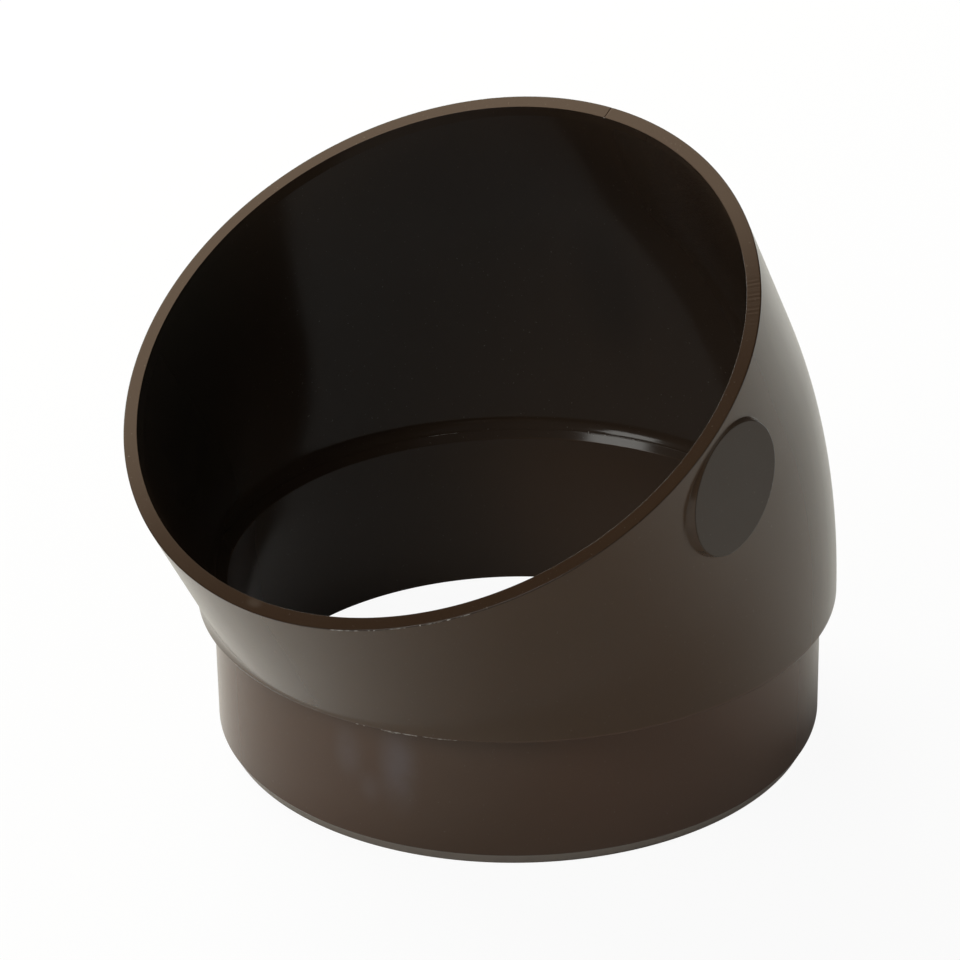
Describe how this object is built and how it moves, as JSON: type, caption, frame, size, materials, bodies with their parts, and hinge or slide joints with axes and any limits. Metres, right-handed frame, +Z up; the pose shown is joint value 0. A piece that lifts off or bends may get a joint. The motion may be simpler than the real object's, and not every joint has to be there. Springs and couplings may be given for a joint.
{
  "type": "downspout elbow",
  "caption": "Short 30 degree bend for a round rain pipe, with a plain spigot at the foot, a square shoulder and a wider straight socket, open right through.",
  "frame": {"origin": "centre of the spigot's foot, on the plane of its end", "axes": "+Z up along the spigot from its foot to the bend, +X the way the socket leans, +Y the side with the raised round pad"},
  "size_m": [0.1181, 0.1055, 0.0997],
  "materials": {
    "brown_plastic": "glossy moulded dark brown plastic"
  },
  "bodies": {
    "root": {"elbow": "brown_plastic"}
  },
  "joints": []
}
